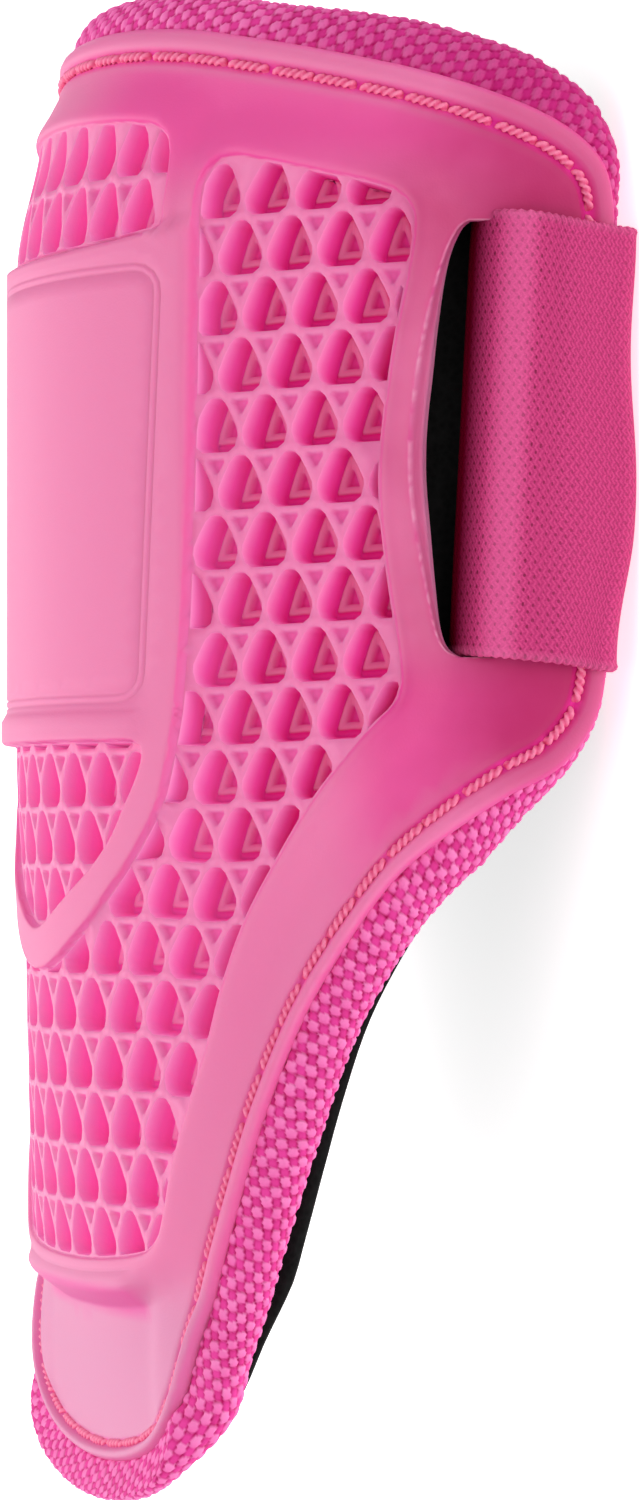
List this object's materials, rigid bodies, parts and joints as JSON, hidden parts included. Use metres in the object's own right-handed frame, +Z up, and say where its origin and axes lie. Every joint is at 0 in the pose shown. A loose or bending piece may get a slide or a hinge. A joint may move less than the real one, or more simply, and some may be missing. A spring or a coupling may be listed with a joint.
{
  "type": "batter's elbow guard",
  "caption": "Moulded U-shaped elbow guard for batting, with a long tongue, a raised front panel, fields of wells, a woven edge roll, a foam pad and a wide elastic strap across the back.",
  "frame": {"origin": "on the floor under the middle of the guard, where it lies on its strap", "axes": "+Z up, the way the front panel faces; +Y towards the wide upper end; +X towards one wing"},
  "size_m": [0.1368, 0.2504, 0.0814],
  "materials": {
    "shell": "soft moulded plastic, satin",
    "binding": "coarse basket weave",
    "pad": "matt knitted lining over foam",
    "strap": "knitted elastic"
  },
  "bodies": {
    "root": {"shell": "shell", "edge_binding": "binding", "pad": "pad", "strap": "strap"}
  },
  "joints": []
}
